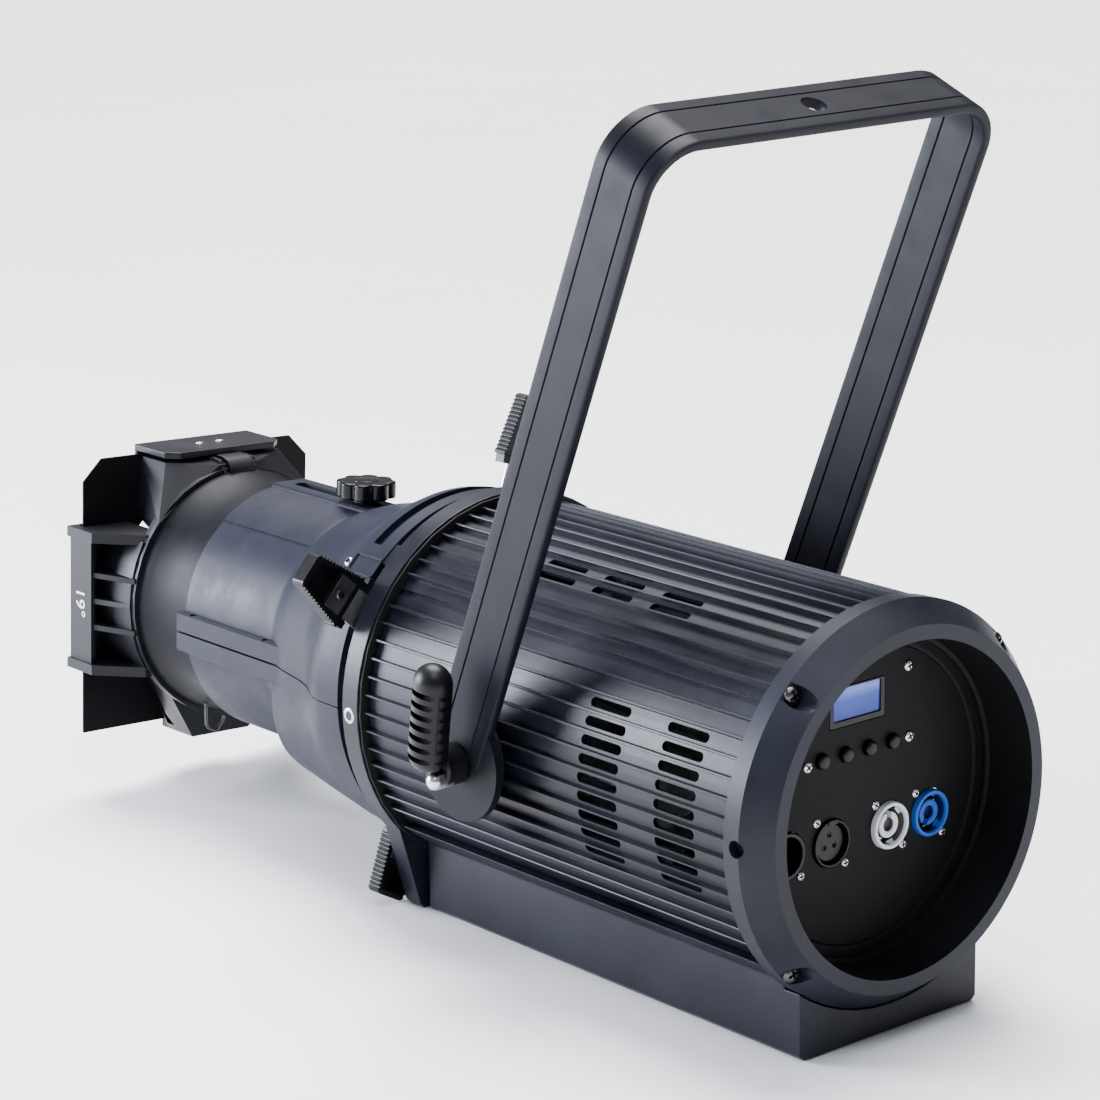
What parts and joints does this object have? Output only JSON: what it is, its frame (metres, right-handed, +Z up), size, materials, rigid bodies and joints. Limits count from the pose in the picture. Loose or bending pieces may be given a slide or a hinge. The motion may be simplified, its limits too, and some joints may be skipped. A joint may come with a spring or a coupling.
{
  "type": "ellipsoidal spotlight",
  "caption": "LED profile spotlight with finned housing, tilting yoke, rotating shutter barrel, sliding lens tube, driver base and rear control panel.",
  "frame": {"origin": "centre of the flat underside of the driver base", "axes": "+Z up, beam along -Y, rear control panel facing +Y, +X on the lamp's right-hand side seen from behind the lens"},
  "size_m": [0.2806, 0.594, 0.4491],
  "materials": {
    "bare_aluminium": "bare aluminium",
    "black_plastic": "black moulded plastic, finely grained",
    "blade_steel": "brushed sheet steel",
    "case_steel": "plain sheet steel case",
    "circuit_green": "green circuit board",
    "clear_glass": "polished clear glass",
    "display_blue": "glossy blue display window",
    "gasket_black": "matt black gasket",
    "inlet_blue": "blue moulded socket",
    "outlet_grey": "light grey moulded socket",
    "panel_black": "matt black painted sheet",
    "satin_paint": "die-cast, painted dark blue-grey with a smooth satin finish",
    "screw_steel": "bright plated screws",
    "textured_paint": "die-cast, painted dark grey with a fine textured powder coat",
    "yoke_paint": "steel strap, dark blue-grey smooth satin paint"
  },
  "bodies": {
    "housing": {"rear_bezel": "textured_paint", "bezel_screw_1": "screw_steel", "bezel_screw_2": "screw_steel", "bezel_screw_3": "screw_steel", "bezel_screw_4": "screw_steel", "control_panel": "panel_black", "display_window": "display_blue", "display_board": "circuit_green", "data_input": "black_plastic", "data_output": "black_plastic", "power_outlet": "outlet_grey", "power_inlet": "inlet_blue", "housing_shell": "textured_paint", "base_housing": "textured_paint", "front_end_plate": "textured_paint", "end_gasket": "gasket_black", "heat_sink": "bare_aluminium", "led_board": "circuit_green", "lens_holder": "panel_black", "condenser_lens": "clear_glass", "field_lens": "clear_glass", "fan_frame": "black_plastic", "power_supply": "case_steel", "driver_board": "circuit_green", "pivot_boss_right": "textured_paint", "pivot_boss_left": "textured_paint"},
    "yoke": {"yoke": "yoke_paint"},
    "clamp_lever_right": {"clamp_lever_right": "black_plastic"},
    "clamp_lever_left": {"clamp_lever_left": "black_plastic"},
    "fan_rotor": {"fan_rotor": "black_plastic"},
    "menu_button_1": {"menu_button_1": "black_plastic"},
    "menu_button_2": {"menu_button_2": "black_plastic"},
    "menu_button_3": {"menu_button_3": "black_plastic"},
    "menu_button_4": {"menu_button_4": "black_plastic"},
    "barrel": {"barrel_collar": "satin_paint", "gate_ring": "panel_black", "upper_barrel": "satin_paint", "lower_barrel": "satin_paint"},
    "shutter_side": {"shutter_blade_side": "blade_steel", "shutter_handle_side": "black_plastic"},
    "shutter_top": {"shutter_blade_top": "blade_steel", "shutter_handle_top": "black_plastic"},
    "shutter_bottom": {"shutter_blade_bottom": "blade_steel", "shutter_handle_bottom": "black_plastic"},
    "shutter_far": {"shutter_blade_far": "blade_steel", "shutter_handle_far": "black_plastic"},
    "lens_tube": {"lens_tube": "black_plastic", "accessory_holder": "black_plastic", "gel_frame": "panel_black", "rear_lens": "clear_glass", "front_lens": "clear_glass", "wire_clip": "blade_steel"},
    "focus_knob": {"focus_knob": "black_plastic"},
    "retaining_door": {"retaining_door": "black_plastic"}
  },
  "joints": [
    {"name": "yoke_tilt", "type": "hinge", "parent": "housing", "child": "yoke", "pos_m": [0, -0.05, 0.115], "axis": [1, 0, 0], "range_deg": [-67, 45]},
    {"name": "clamp_turn_right", "type": "hinge", "parent": "housing", "child": "clamp_lever_right", "pos_m": [0.124, -0.05, 0.115], "axis": [1, 0, 0], "range_deg": [-90, 90]},
    {"name": "clamp_turn_left", "type": "hinge", "parent": "housing", "child": "clamp_lever_left", "pos_m": [-0.124, -0.05, 0.115], "axis": [1, 0, 0], "range_deg": [-90, 90]},
    {"name": "fan_spin", "type": "hinge", "parent": "housing", "child": "fan_rotor", "pos_m": [0, 0.0775, 0.115], "axis": [0, 1, 0], "continuous": true},
    {"name": "menu_button_press_1", "type": "slide", "parent": "housing", "child": "menu_button_1", "axis": [0, -1, 0], "range_m": [0, 0.0012], "stiffness_N_per_m": 250},
    {"name": "menu_button_press_2", "type": "slide", "parent": "housing", "child": "menu_button_2", "axis": [0, -1, 0], "range_m": [0, 0.0012], "stiffness_N_per_m": 250},
    {"name": "menu_button_press_3", "type": "slide", "parent": "housing", "child": "menu_button_3", "axis": [0, -1, 0], "range_m": [0, 0.0012], "stiffness_N_per_m": 250},
    {"name": "menu_button_press_4", "type": "slide", "parent": "housing", "child": "menu_button_4", "axis": [0, -1, 0], "range_m": [0, 0.0012], "stiffness_N_per_m": 250},
    {"name": "barrel_turn", "type": "hinge", "parent": "housing", "child": "barrel", "pos_m": [0, -0.158, 0.115], "axis": [0, 1, 0], "range_deg": [-25, 25]},
    {"name": "shutter_slide_side", "type": "slide", "parent": "barrel", "child": "shutter_side", "axis": [0.7431, 0, 0.6691], "range_m": [0, 0.036]},
    {"name": "shutter_slide_top", "type": "slide", "parent": "barrel", "child": "shutter_top", "axis": [-0.3173, 0, 0.9483], "range_m": [-0.009, 0.027]},
    {"name": "shutter_slide_bottom", "type": "slide", "parent": "barrel", "child": "shutter_bottom", "axis": [0.4848, 0, -0.8746], "range_m": [0, 0.04]},
    {"name": "shutter_slide_far", "type": "slide", "parent": "barrel", "child": "shutter_far", "axis": [-0.8572, 0, -0.515], "range_m": [0, 0.036]},
    {"name": "lens_tube_slide", "type": "slide", "parent": "barrel", "child": "lens_tube", "axis": [0, -1, 0], "range_m": [-0.006, 0.055]},
    {"name": "focus_knob_turn", "type": "hinge", "parent": "lens_tube", "child": "focus_knob", "pos_m": [-0.00419, -0.271, 0.19489], "axis": [-0.0523, 0, 0.9986], "range_deg": [-180, 180]},
    {"name": "retaining_door_turn", "type": "hinge", "parent": "lens_tube", "child": "retaining_door", "pos_m": [-0.00421, -0.405, 0.19539], "axis": [0.9986, 0, 0.0523], "range_deg": [-110, 0]}
  ]
}
